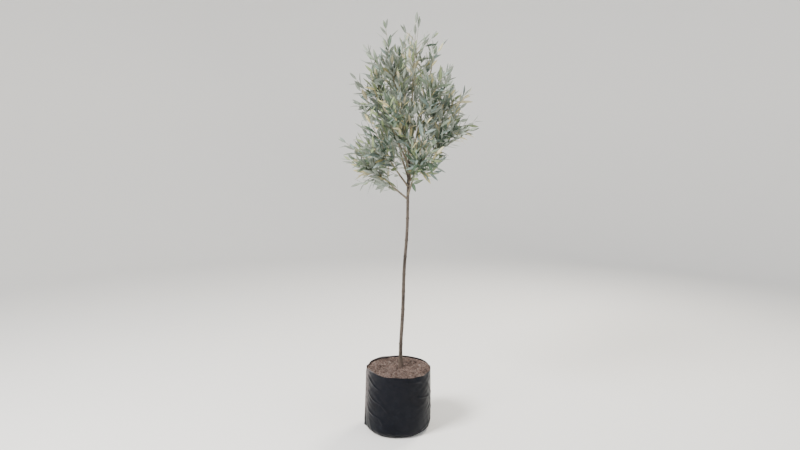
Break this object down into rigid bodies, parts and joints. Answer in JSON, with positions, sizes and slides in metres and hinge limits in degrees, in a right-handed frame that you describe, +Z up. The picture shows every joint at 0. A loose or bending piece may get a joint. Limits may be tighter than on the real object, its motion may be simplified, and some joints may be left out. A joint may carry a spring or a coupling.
{
  "type": "potted olive tree",
  "caption": "Young olive tree trained as a standard in a filled black film grow bag: bare upright trunk, forked boughs and an open crown of narrow grey-green leaves.",
  "frame": {"origin": "middle of the bag's flat underside, on the ground", "axes": "+Z up along the tree, +X to the right and +Y away from the camera of the picture"},
  "size_m": [0.6455, 0.6159, 1.8494],
  "materials": {
    "bag_film": "thin black polythene film, wrinkled, soft sheen",
    "potting_mix": "dry red-brown bark mix, crumbly and matt",
    "trunk_bark": "young grey-brown bark, finely fissured, matt",
    "bough_bark": "smooth tan-grey young bark, matt",
    "leaf": "dusty grey-green upper side, silvery underside, leathery satin"
  },
  "bodies": {
    "root": {"grow_bag": "bag_film", "potting_mix": "potting_mix", "trunk": "trunk_bark", "bough_1": "bough_bark", "bough_2": "bough_bark", "bough_3": "bough_bark", "bough_4": "bough_bark", "bough_5": "bough_bark", "bough_6": "bough_bark", "bough_7": "bough_bark", "bough_8": "bough_bark", "bough_9": "bough_bark", "bough_10": "bough_bark", "bough_11": "bough_bark", "bough_12": "bough_bark", "leader": "bough_bark", "foliage_1": "leaf", "foliage_2": "leaf", "foliage_3": "leaf", "foliage_4": "leaf", "foliage_5": "leaf", "foliage_6": "leaf", "foliage_7": "leaf", "foliage_8": "leaf", "foliage_9": "leaf", "foliage_10": "leaf", "foliage_11": "leaf", "foliage_12": "leaf", "foliage_13": "leaf"}
  },
  "joints": []
}
